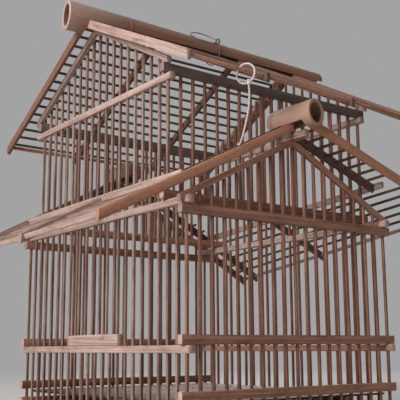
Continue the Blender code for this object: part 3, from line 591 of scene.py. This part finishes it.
upperRoof = {
    "apex": 0.518922, "eave": 0.2376, "boards": 0.1867, "bargeStart": 0.0002,
    "rafterStart": 0.0048, "rafters": (-0.072, 0.072),
    "rods": 14, "firstRod": 0.0216, "lastRod": 0.22354, "rodReach": 0.1868,
    "stripReach": 0.1836, "stripRun": 0.23112, "stripSide": 0.0044,
    # painted shade: the pegs' stain darkens them fully
    "pegSide": 0.0013, "pegProud": 0.00025, "pegShade": 2.4,
    "pegPitch": 0.0133, "pegMiddle": 0.004, "pegsEachWay": 13,
    "pole": (-0.179, 0.179), "poleLevel": 0.51758, "poleWide": 0.009, "poleDeep": 0.008,
    "pitches": {"front": (0.494, 0.540), "back": (0.540, 0.540)},
}


def makeSlope(alongX, way, apex, pitches, ends):
    def pitchAt(along):
        return pitches[0] + (pitches[1] - pitches[0]) * (along - ends[0]) / (ends[1] - ends[0])

    def point(along, run, lift=0):
        level = apex - pitchAt(along) * run + lift
        return Vector((along, way * run, level) if alongX else (way * run, along, level))

    def ways(along):      # down the slope, and square out of it
        steep = pitchAt(along)
        secant = math.sqrt(1 + steep ** 2)
        downhill = Vector((0, way, -steep) if alongX else (way, 0, -steep)) / secant
        square = Vector((0, way * steep, 1) if alongX else (way * steep, 0, 1)) / secant
        return downhill, square

    return {"alongX": alongX, "pitchAt": pitchAt, "point": point, "ways": ways}


def rod(slope, near, far, run, wide=roofStick["rod"], deep=roofStick["rod"], tone=None):
    downhill, square = slope["ways"]((near + far) / 2)
    point = slope["point"]
    return layStick((point(near, run), point(far, run)), downhill * wide, square * deep, tone)


def board(slope, along, start, end, tone=None):
    across = acrossX if slope["alongX"] else acrossY
    secant = math.sqrt(1 + slope["pitchAt"](along) ** 2)
    point = slope["point"]
    return layStick((point(along, start), point(along, end)), across * roofStick["boardThick"],
                    upright * roofStick["boardWide"] * secant, tone, roofStick["boardWander"])


def peg(slope, along):      # a pin driven square through the eave strip, its head a little proud; its dark colour is painted shade
    downhill, square = slope["ways"](along)
    middle = slope["point"](along, upperRoof["stripRun"])
    half = upperRoof["stripSide"] / 2 + upperRoof["pegProud"]
    return layStick((middle - downhill * half, middle + downhill * half), acrossX * upperRoof["pegSide"],
                    square * upperRoof["pegSide"], 1, 0, stickMaster["girth"], upperRoof["pegShade"])


def lowerSide(word, setup, roof, slope):
    name, eave, frontBoard = word.title(), roof["eave"], setup["frontBoard"]
    frontRod, backRod = frontBoard - roof["rodPast"], roof["backRod"]
    barge = board(slope, frontBoard, setup["frontStart"], eave, 0.5)
    bundle("lowerFrontBarge" + name, [barge], "lower_barge_front_" + word, "orangeBoard")
    barge = board(slope, roof["backBoard"], roof["bargeStart"], eave, 0.5)
    bundle("lowerBackBarge" + name, [barge], "lower_barge_back_" + word, "shadedBoard")
    panels = (("front", frontRod, -roof["rodTail"], roof["frontRafter"]),
              ("back", backRod, roof["rodTail"], roof["backRafter"]))
    for endWord, outer, inner, rafter in panels:      # in front of the tower and behind it
        sticks = [board(slope, rafter, roof["rafterStart"], roof["rafterEnd"])]
        sticks += [rod(slope, outer, inner, pitch * index) for index in roof["shortRods"]]
        node = "short_rods_" + endWord + "_" + word
        bundle("short" + endWord.title() + "Rods" + name, sticks, node, "rodWood")
    rafters = (setup["middleRafter"], roof["backRafter"])
    sticks = [board(slope, along, roof["skirtStart"], eave, 0.5) for along in rafters]
    sticks += [rod(slope, frontRod, backRod, pitch * index, tone=0.7) for index in roof["skirtRods"]]
    bundle("skirtRods" + name, sticks, "skirt_rods_" + word, setup["skirtWood"])
    strip = rod(slope, frontBoard + roof["stripInset"], roof["backStrip"], setup["stripRun"],
                setup["stripWide"], setup["stripDeep"], 0.2)
    bundle("lowerEaveStrip" + name, [strip], "lower_eave_strip_" + word, "litWood")
    ends = [slope["point"](along, roof["plateMiddle"], roof["plateLift"]) for along in roof["plate"]]
    plate = layStick(ends, acrossX * roof["plateWide"], upright * roof["plateDeep"], 0.4)
    bundle("wallPlate" + name, [plate], "wall_plate_" + word, "litWood")


def upperSide(word, setup, slope):
    name, eave = word.title(), setup["eave"]
    for endWord, along in (("left", -setup["boards"]), ("right", setup["boards"])):
        # painted light and shade: the left front barge takes the pale lit wood, the other barges the dark
        # shaded board
        finish = "litWood" if (endWord, word) == ("left", "front") else "shadedBoard"
        barge = board(slope, along, setup["bargeStart"], eave, 0.4)
        node = "upper_barge_" + endWord + "_" + word
        bundle("upper" + endWord.title() + "Barge" + name, [barge], node, finish)
    sticks = [board(slope, along, setup["rafterStart"], eave) for along in setup["rafters"]]
    reach, first, last = setup["rodReach"], setup["firstRod"], setup["lastRod"]
    for index in range(setup["rods"]):
        sticks.append(rod(slope, -reach, reach, first + (last - first) * index / (setup["rods"] - 1)))
    bundle("upperRods" + name, sticks, "upper_rods_" + word, "rodWood")
    reach, side, each = setup["stripReach"], setup["stripSide"], setup["pegsEachWay"]
    sticks = [rod(slope, -reach, reach, setup["stripRun"], side, side, 0.6)]
    for index in range(-each, each + 1):
        sticks.append(peg(slope, setup["pegMiddle"] + setup["pegPitch"] * index))
    bundle("upperEaveStrip" + name, sticks, "upper_eave_strip_" + word, "orangeBoard")


lowerSlopes, upperSlopes = [], []
for word, setup in lowerSides.items():
    ends = (setup["frontBoard"], lowerRoof["backBoard"])
    lowerSlopes.append(makeSlope(False, setup["way"], lowerRoof["apex"], setup["pitches"], ends))
    lowerSide(word, setup, lowerRoof, lowerSlopes[-1])
for way, word in ((-1, "front"), (1, "back")):
    ends = (-upperRoof["boards"], upperRoof["boards"])
    upperSlopes.append(makeSlope(True, way, upperRoof["apex"], upperRoof["pitches"][word], ends))
    upperSide(word, upperRoof, upperSlopes[-1])
for word, run in lowerRoof["poles"].items():
    pole = layStick([(0, along, lowerRoof["poleLevel"]) for along in run], acrossX * lowerRoof["poleWide"],
                    upright * lowerRoof["poleDeep"], 0.7)
    bundle("lowerRidgePole" + word.title(), [pole], "lower_ridge_pole_" + word, "litWood")
pole = layStick([(along, 0, upperRoof["poleLevel"]) for along in upperRoof["pole"]],
                acrossY * upperRoof["poleWide"], upright * upperRoof["poleDeep"], 0.7)
bundle("upperRidgePole", [pole], "upper_ridge_pole", "litWood")
for master in (straightStick, bentStick):
    bpy.data.objects.remove(master["thing"])
print("roofs built")


# bamboo culms along the ridges

culmShape = {
    "sides": 72, "rim": 0.0011, "boreFloor": ((0, 0.25), (0.001, 0.8), (0.004, 1)),
    # a knuckle's places along the culm and its rises there
    "knuckle": ((-0.006, 0), (-0.003, -0.0003), (-0.00105, 0.0005), (0.00105, 0.0002), (0.003, 0.0001)),
    "endRound": 0.005, "endTurns": (0, 20, 40, 60, 80), "endShare": 0.3,
    "slant": 0.21, "slantReach": 0.0025, "saddleReach": 0.05, "saddleClear": 0.0059,
    "grainShift": (0, 5), "boreSpare": 0.0004, "mouth": 0.0008, "floorSpare": 0.002,
    "endFace": 0.0012, "knuckleFade": 0.0016,
}
culmGrain = {      # waves to a metre along, across and up the culm
    "streak": (10.0, 260.0, 260.0), "blotch": (30.0, 60.0, 60.0), "fibre": (80.0, 1800.0, 1800.0),
    "crownFrom": 0.001, "crownTo": 0.016, "rough": 0.5, "bump": 0.3, "bumpDepth": 0.0005,
}
culmLevels = {"upper": 0.523522, "lower": 0.367983}
culmColours = {      # grey top, flank, stain, cut rim and bore
    "upper": ("brown_ridge_culm", (0.20, 0.165, 0.145), (0.30, 0.14, 0.088), (0.12, 0.055, 0.035),
              (0.52, 0.38, 0.33), (0.26, 0.15, 0.10)),
    "lower": ("grey_ridge_culm", (0.37, 0.325, 0.295), (0.35, 0.205, 0.155), (0.17, 0.095, 0.066),
              (0.42, 0.25, 0.18), (0.28, 0.16, 0.10)),
}


def culmLook(name, level, top, flank, stain, rim, bore):
    look = Look(name, roughness=culmGrain["rough"])
    height = look.split(look.objectPlace(), 2)
    crown = height.ramp(level + culmGrain["crownFrom"], level + culmGrain["crownTo"])      # greyer towards the top
    grain = look.attribute("grain")
    mark = look.attribute("mark")
    inside, end, knuckle = (look.split(mark, index) for index in range(3))
    streak = look.grainNoise(grain, culmGrain["streak"], 4.0)
    blotch = look.grainNoise(grain, culmGrain["blotch"], 4.0, 0.6)
    fibre = look.grainNoise(grain, culmGrain["fibre"], 2.0)
    greying = crown * 0.85 + blotch.ramp(0.40, 0.75) * 0.35 - 0.1
    colour = look.mix(greying.clamp(), flank, top)
    colour = look.mix((streak.ramp(0.52, 0.80) * 0.55).clamp(), colour, stain)
    colour = look.mix((knuckle * 0.8).clamp(), colour, stain)
    colour = look.mix(end, colour, look.mix(fibre.ramp(0.4, 0.7), rim, flank))
    colour = look.mix(inside, colour, bore)
    look.paint(colour)
    look.rough((0.40 + blotch * 0.25).clamp())
    look.bump(fibre * 0.5 + streak, culmGrain["bump"], culmGrain["bumpDepth"])
    return look.material


for tier, (name, *colours) in culmColours.items():
    looks[tier + "Culm"] = culmLook(name, culmLevels[tier], *colours)


def culmProfile(culm):      # places and radii from the bore's floor out of the open end to the closed one
    openEnd, closedEnd, way = culm["openEnd"], culm["closedEnd"], culm["way"]
    openRadius, closedRadius, bore = culm["openRadius"], culm["closedRadius"], culm["bore"]
    rim, rounding = culmShape["rim"], culmShape["endRound"]
    profile = [(openEnd + way * (culm["depth"] - before), bore * share)
               for before, share in culmShape["boreFloor"]]
    profile += [(openEnd + way * rim, bore), (openEnd, bore + rim), (openEnd, openRadius - rim),
                (openEnd + way * rim, openRadius)]
    for knuckle in culm["knuckles"]:
        for shift, rise in culmShape["knuckle"]:
            place = knuckle + way * shift
            share = (place - openEnd) / (closedEnd - openEnd)
            profile.append((place, openRadius + (closedRadius - openRadius) * share + rise))
    for turn in culmShape["endTurns"]:
        angle = math.radians(turn)
        profile.append((closedEnd - way * rounding * (1 - math.sin(angle)),
                        closedRadius - rounding * (1 - math.cos(angle))))
    profile.append((closedEnd, closedRadius * culmShape["endShare"]))
    return profile


def turnCulm(name, culm):
    profile = culmProfile(culm)
    deselectAll()
    bpy.ops.mesh.primitive_circle_add(vertices=culmShape["sides"], radius=profile[0][1], location=(0, 0, 0))
    turned = bpy.context.object
    bpy.ops.object.mode_set(mode="EDIT")
    bpy.ops.mesh.select_all(action="SELECT")
    for (place, radius), (nextPlace, nextRadius) in zip(profile, profile[1:]):
        bpy.ops.mesh.extrude_region_move(TRANSFORM_OT_translate={"value": (0, 0, nextPlace - place)})
        share = nextRadius / radius
        bpy.ops.transform.resize(value=(share, share, 1), center_override=(0, 0, nextPlace - profile[0][0]))
    bpy.ops.mesh.select_mode(type="EDGE")
    bpy.ops.mesh.select_all(action="DESELECT")
    bpy.ops.mesh.select_non_manifold()
    bpy.ops.mesh.edge_face_add()
    bpy.ops.mesh.select_all(action="SELECT")
    bpy.ops.mesh.normals_make_consistent(inside=False)
    bpy.ops.object.mode_set(mode="OBJECT")
    turned.name = name
    shift = Matrix.Translation((0, 0, profile[0][0]))
    quarter = math.radians(90)
    turn = Matrix.Rotation(quarter, 4, "Y") if culm["alongX"] else Matrix.Rotation(-quarter, 4, "X")
    turned.data.transform(Matrix.Translation((0, 0, culm["level"])) @ turn @ shift)
    return turned


def saddleCut(piece, culm):      # the culm's underside is cut to sit astride the barge boards
    (near, far), level, alongX = culm["cut"], culm["level"], culm["alongX"]
    reach, clear = culmShape["saddleReach"], culmShape["saddleClear"]
    deselectAll()
    bpy.ops.mesh.primitive_cube_add(size=1)
    tool = bpy.context.object
    tool.name = "saddle"
    bpy.ops.object.mode_set(mode="EDIT")
    size = (far - near, 2 * reach, 2 * reach) if alongX else (2 * reach, far - near, 2 * reach)
    bpy.ops.transform.resize(value=size, center_override=(0, 0, 0))
    middle = (near + far) / 2
    bpy.ops.transform.translate(value=(middle, 0, level) if alongX else (0, middle, level))
    for slope in culm["slopes"]:      # each slope of the roof takes the block's top off
        point, pitchAt = slope["point"], slope["pitchAt"]
        corners = [point(along, run, clear * math.sqrt(1 + pitchAt(along) ** 2))
                   for along, run in ((near, 0), (near, reach), (far, 0))]
        normal = (corners[1] - corners[0]).cross(corners[2] - corners[0]).normalized()
        normal *= math.copysign(1, normal.z)
        bpy.ops.mesh.select_all(action="SELECT")
        bpy.ops.mesh.bisect(plane_co=corners[0], plane_no=normal, use_fill=True, clear_outer=True)
    bpy.ops.object.mode_set(mode="OBJECT")
    pickOnly(piece)
    cut = piece.modifiers.new("saddle", "BOOLEAN")
    cut.operation = "DIFFERENCE"
    cut.solver = "EXACT"
    cut.object = tool
    bpy.ops.object.modifier_apply(modifier="saddle")
    bpy.data.objects.remove(tool)


def markCulm(piece, culm):
    places = np.array([tuple(vertex.co) for vertex in piece.data.vertices])
    along, across = (places[:, 0], places[:, 1]) if culm["alongX"] else (places[:, 1], places[:, 0])
    height = places[:, 2] - culm["level"]
    spread = np.hypot(across, height)
    offset = np.array([dice.uniform(*culmShape["grainShift"]) for axis in range(3)])
    grain = np.stack((along, across, height), 1) + offset
    reach = (along - culm["openEnd"]) * culm["way"]
    within = (reach > culmShape["mouth"]) & (reach < culm["depth"] + culmShape["floorSpare"])
    inside = ((spread < culm["bore"] + culmShape["boreSpare"]) & within).astype(float)
    end = ((reach < culmShape["endFace"]) & (inside < 0.5)).astype(float)
    ring = np.zeros(len(places))
    for knuckle in culm["knuckles"]:
        ring = np.maximum(ring, np.exp(-((along - knuckle) / culmShape["knuckleFade"]) ** 2))
    writeMarks(piece.data, grain, np.stack((inside, end, ring * (1 - inside)), 1))


def slantEnd(piece, culm):      # the saw ran a little off square at the open end
    for vertex in piece.data.vertices:
        along, across = (vertex.co.x, vertex.co.y) if culm["alongX"] else (vertex.co.y, vertex.co.x)
        if (along - culm["openEnd"]) * culm["way"] < culmShape["slantReach"]:
            shift = culmShape["slant"] * across
            vertex.co += (acrossX if culm["alongX"] else acrossY) * shift


lowerCulm = {
    "alongX": False, "level": culmLevels["lower"], "openRadius": 0.0171, "closedRadius": 0.0171,
    "bore": 0.0122, "depth": 0.0683, "slopes": lowerSlopes, "look": "lowerCulm",
}
culms = {
    "lowerFrontCulm": {
        **lowerCulm, "node": "lower_ridge_tube_front", "way": 1, "openEnd": -0.2428, "closedEnd": -0.1685,
        "knuckles": (-0.1790,), "cut": (-0.2316, -0.1575),
    },
    "lowerBackCulm": {
        **lowerCulm, "node": "lower_ridge_tube_back", "way": -1, "openEnd": 0.2428, "closedEnd": 0.1685,
        "knuckles": (0.1790,), "cut": (0.1575, 0.2316),
    },
    "upperCulm": {
        "node": "upper_ridge_tube", "alongX": True, "level": culmLevels["upper"], "way": 1,
        "openEnd": -0.2150, "closedEnd": 0.2515, "openRadius": 0.0195, "closedRadius": 0.0135,
        "bore": 0.0142, "depth": 0.1500, "knuckles": (-0.1210, 0.1330), "cut": (-0.1898, 0.27),
        "slopes": upperSlopes, "look": "upperCulm",
    },
}
for name, culm in culms.items():
    piece = turnCulm(name, culm)
    saddleCut(piece, culm)
    markCulm(piece, culm)
    slantEnd(piece, culm)
    finishPiece(name, [piece], culm["node"], "cage", looks[culm["look"]], 35)
print("culms turned")


# wire hanger

hanger = {
    "wire": 0.00075, "sides": 12, "steps": 96, "middle": (0.0305, 0, 0.523522),
    "bandRadius": 0.017368, "eyeRadius": 0.0032, "ringRadius": 0.0230,
    "tilt": 38.0, "droop": 0.05681, "bent": 0.012, "bentFrom": 0.6,
}


def wireLook():
    look = Look("dull_wire", roughness=0.45, metallic=0.85, specular=0.5)
    rust = look.noise(look.objectPlace(), 260.0, 4.0)
    look.paint(look.mix(rust.ramp(0.45, 0.7), (0.16, 0.15, 0.15), (0.085, 0.055, 0.04)))
    look.rough((0.35 + rust * 0.4).clamp())
    return look.material


def wireRing(centre, first, second, radius, wire=hanger["wire"], steps=hanger["steps"]):
    deselectAll()
    bpy.ops.mesh.primitive_circle_add(vertices=hanger["sides"], radius=wire, location=(radius, 0, 0),
                                      rotation=(math.pi / 2, 0, 0))
    bpy.ops.object.transform_apply(location=True, rotation=True, scale=True)
    bent = bpy.context.object
    bpy.ops.object.mode_set(mode="EDIT")
    bpy.ops.mesh.select_all(action="SELECT")
    bpy.ops.mesh.spin(steps=steps, angle=2 * math.pi, center=(0, 0, 0), axis=(0, 0, 1))
    bpy.ops.mesh.select_all(action="SELECT")
    bpy.ops.mesh.remove_doubles(threshold=wire / 100)
    bpy.ops.mesh.normals_make_consistent(inside=False)
    bpy.ops.object.mode_set(mode="OBJECT")
    for vertex in bent.data.vertices:      # hand-bent wire is never quite round or flat
        angle = math.atan2(vertex.co.y, vertex.co.x)
        vertex.co.xy *= 1 + hanger["bent"] * math.sin(2 * angle + hanger["bentFrom"])
        vertex.co.z += hanger["bent"] * radius * math.sin(3 * angle)
    turn = Matrix((first, second, first.cross(second))).transposed().to_4x4()
    bent.data.transform(Matrix.Translation(centre) @ turn)
    return bent


looks["wire"] = wireLook()
tilt = math.radians(hanger["tilt"])
middle = Vector(hanger["middle"])
outward = Vector((0, -math.sin(tilt), math.cos(tilt)))
pivot = middle + outward * (hanger["bandRadius"] + hanger["eyeRadius"])
band = wireRing(middle, acrossY, upright, hanger["bandRadius"])
eye = wireRing(pivot, acrossX, outward, hanger["eyeRadius"])
finishPiece("hangerBand", [band, eye], "hanger_band", "cage", looks["wire"], 60)
away = -math.cos(hanger["droop"]) * acrossX - math.sin(hanger["droop"]) * outward
ring = wireRing(pivot + away * hanger["ringRadius"], away, acrossX.cross(outward), hanger["ringRadius"])
finishPiece("hangingRing", [ring], "hanging_ring", "ring", looks["wire"], 60)
print("hanger bent")


# twisted cord round the near eave

cord = {
    "diameter": 0.0024, "plies": 2, "plyRadius": 0.00066, "plyOffset": 0.00056, "twist": 0.0068,
    "station": 0.0004, "aside": (0.3, 0.2, 0.9), "roundness": 2,
    "knotRadius": 0.0012, "knotPly": 0.00105, "knotSteps": 28, "knotRise": 0.0017,
    "knotLeans": ((-24, 14), (18, -20), (-10, 30)),
    "loopCentre": (-0.1050, -0.2355, 0.3970), "loopRadius": 0.0119, "loopTurn": 20, "loopStart": -56,
    "loopSweep": 330, "loopSteps": 48, "tailSteps": 5,
    "tail": ((-0.1037, -0.2391, 0.3817), (-0.1028, -0.2388, 0.3770), (-0.1010, -0.2368, 0.3690),
             (-0.0995, -0.2335, 0.3590), (-0.0980, -0.2285, 0.3480), (-0.0965, -0.2225, 0.3380),
             (-0.0950, -0.2170, 0.3300), (-0.0936, -0.2120, 0.3250), (-0.0925, -0.2086, 0.3227),
             (-0.0916, -0.2060, 0.3217), (-0.0908, -0.2032, 0.3219)),
}


def cottonLook():
    look = Look("twisted_cotton", roughness=0.9, specular=0.2)
    place = look.objectPlace()
    fuzz = look.noise(place, 1800.0, 3.0)
    dirt = look.noise(place, 90.0, 3.0)
    colour = look.mix(fuzz.ramp(0.3, 0.7), (0.50, 0.44, 0.40), (0.72, 0.67, 0.63))
    look.paint(look.mix(dirt.ramp(0.55, 0.8) * 0.5, colour, (0.36, 0.29, 0.24)))
    look.bump(fuzz, 0.5, 0.0003)
    return look.material


def smoothRoute(points, count):      # a smooth curve through the points
    knots = [Vector(point) for point in points]
    ends = [2 * knots[0] - knots[1]] + knots + [2 * knots[-1] - knots[-2]]
    route = []
    for before, here, there, beyond in zip(ends, ends[1:], ends[2:], ends[3:]):
        square = 2 * before - 5 * here + 4 * there - beyond
        cube = 3 * here - before - 3 * there + beyond
        for step in range(count):
            t = step / count
            route.append(0.5 * (2 * here + (there - before) * t + square * t ** 2 + cube * t ** 3))
    return route + [knots[-1]]


def loopPlace(angle):
    turn = math.radians(cord["loopTurn"])
    across = Vector((math.sin(turn), -math.cos(turn), 0))
    spoke = across * math.cos(angle) + upright * math.sin(angle)
    return Vector(cord["loopCentre"]) + cord["loopRadius"] * spoke


def legLengths(route):
    return [(there - here).length for here, there in zip(route, route[1:])]


def layPly(name, points):
    curve = bpy.data.curves.new(name, "CURVE")
    curve.dimensions = "3D"
    curve.bevel_depth = cord["plyRadius"]
    curve.bevel_resolution = cord["roundness"]
    curve.use_fill_caps = True
    spline = curve.splines.new("POLY")
    spline.points.add(len(points) - 1)
    for point, place in zip(spline.points, points):
        point.co = (*place, 1)
    strand = bpy.data.objects.new(name, curve)
    bpy.context.scene.collection.objects.link(strand)
    pickOnly(strand)
    bpy.ops.object.convert(target="MESH")
    return bpy.context.object


def twistCord(name, route):
    reached = np.concatenate(([0], np.cumsum(legLengths(route))))
    points = np.array([tuple(point) for point in route])
    stations = np.linspace(0, reached[-1], int(reached[-1] / cord["station"]))
    line = np.stack([np.interp(stations, reached, points[:, axis]) for axis in range(3)], 1)
    tangent = np.gradient(line, axis=0)
    tangent /= np.linalg.norm(tangent, axis=1)[:, None]
    side = np.cross(tangent[0], cord["aside"])
    sides = []
    for step in tangent:      # carried along the cord without turning about it
        side = side - step * (side @ step)
        side = side / np.linalg.norm(side)
        sides.append(side)
    sides = np.array(sides)
    others = np.cross(tangent, sides)
    strands = []
    for ply in range(cord["plies"]):
        angle = 2 * np.pi * (stations / cord["twist"] + ply / cord["plies"])
        outwards = np.cos(angle)[:, None] * sides + np.sin(angle)[:, None] * others
        strands.append(layPly(name, line + cord["plyOffset"] * outwards))
    return strands


def tieKnot(place):      # three turns of the cord, one above the other
    wraps = []
    for level, (leanX, leanY) in enumerate(cord["knotLeans"], -1):
        lean = Matrix.Rotation(math.radians(leanX), 3, "X") @ Matrix.Rotation(math.radians(leanY), 3, "Y")
        wraps.append(wireRing(place + upright * cord["knotRise"] * level, lean @ acrossX, lean @ acrossY,
                              cord["knotRadius"], cord["knotPly"], cord["knotSteps"]))
    return wraps


looks["cotton"] = cottonLook()
start, sweep = math.radians(cord["loopStart"]), math.radians(cord["loopSweep"])
steps = cord["loopSteps"]
loopRoute = [loopPlace(start + sweep * step / steps) for step in range(steps + 1)]
strands = twistCord("cordLoop", loopRoute)
loop = finishPiece("cordLoop", strands, "cord_loop", "cage", looks["cotton"], 60)
tailRoute = smoothRoute(cord["tail"], cord["tailSteps"])
strands = twistCord("cordTail", tailRoute)
tail = finishPiece("cordTail", strands, "cord_tail", "cage", looks["cotton"], 60)
wraps = tieKnot(loopPlace(start + (sweep - 2 * math.pi) / 2))
knot = finishPiece("cordKnot", wraps, "cord_knot", "cage", looks["cotton"], 60)
loopLength, tailLength = sum(legLengths(loopRoute)), sum(legLengths(tailRoute))
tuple(loopRoute[0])
print("cord tied", round(loopLength, 4), round(tailLength, 4))


# floor, backdrop and light

stageSetup = {
    "floorSide": 24.0, "floorColour": (0.62, 0.61, 0.60), "backdrop": (0.37, 0.368, 0.37, 1),
    "fadeFrom": 0.6, "fadeTo": 2.2, "roomLight": (0.085, 0.076, 0.072, 1), "aim": (0, 0, 0.25),
    "lamps": (      # name, place, side, watts, colour
        ("windowLight", (-2.65, -0.55, 1.2), 1.5, 104, (1.0, 0.985, 0.99)),
        ("frontFill", (0.7, -2.7, 1.1), 2.2, 4, (1.0, 0.86, 0.74)),
        ("backFill", (2.4, 2.2, 1.4), 2.4, 60, (1.0, 0.96, 0.93)),
        ("skyLight", (0.2, 0.2, 3.0), 2.5, 9, (0.97, 0.98, 1.0)),
    ),
}


def makeFloor(setup):      # the floor fades into the backdrop where it is far from the cage
    look = Look("plain_pale_stage", roughness=0.9, specular=0.1)
    look.paint(setup["floorColour"])
    away = look.put("ShaderNodeVectorMath", {"operation": "LENGTH"}, [look.objectPlace()], 1)
    fade = away.ramp(setup["fadeFrom"], setup["fadeTo"]) * look.seenRays()
    glow = look.put("ShaderNodeEmission", {}, {"Color": setup["backdrop"]})
    body = Flow(look, look.shader.outputs[0])
    surface = look.put("ShaderNodeMixShader", {}, [fade, body, glow])
    look.feed(look.tree.nodes["Material Output"].inputs["Surface"], surface)
    deselectAll()
    bpy.ops.mesh.primitive_plane_add(size=setup["floorSide"], location=(0, 0, 0))
    ground = bpy.context.object
    ground.name = "stageFloor"
    ground.data.materials.append(look.material)


def makeWorld(setup):
    world = bpy.data.worlds.new("plainRoom")
    tree = Tree(world)
    room = tree.put("ShaderNodeBackground", {}, {"Color": setup["roomLight"]})
    seen = tree.put("ShaderNodeBackground", {}, {"Color": setup["backdrop"]})
    sky = tree.put("ShaderNodeMixShader", {}, [tree.seenRays(), room, seen])
    tree.feed(tree.tree.nodes["World Output"].inputs["Surface"], sky)
    bpy.context.scene.world = world


def addLamp(name, place, size, power, colour):
    bpy.ops.object.light_add(type="AREA", location=place)
    lamp = bpy.context.object
    lamp.name = name
    lamp.data.shape = "SQUARE"
    lamp.data.size = size
    lamp.data.energy = power
    lamp.data.color = colour
    lamp.rotation_euler = (Vector(place) - Vector(stageSetup["aim"])).to_track_quat("Z", "Y").to_euler()


makeFloor(stageSetup)
makeWorld(stageSetup)
for lamp in stageSetup["lamps"]:
    addLamp(*lamp)
bpy.context.scene.view_settings.view_transform = "Standard"
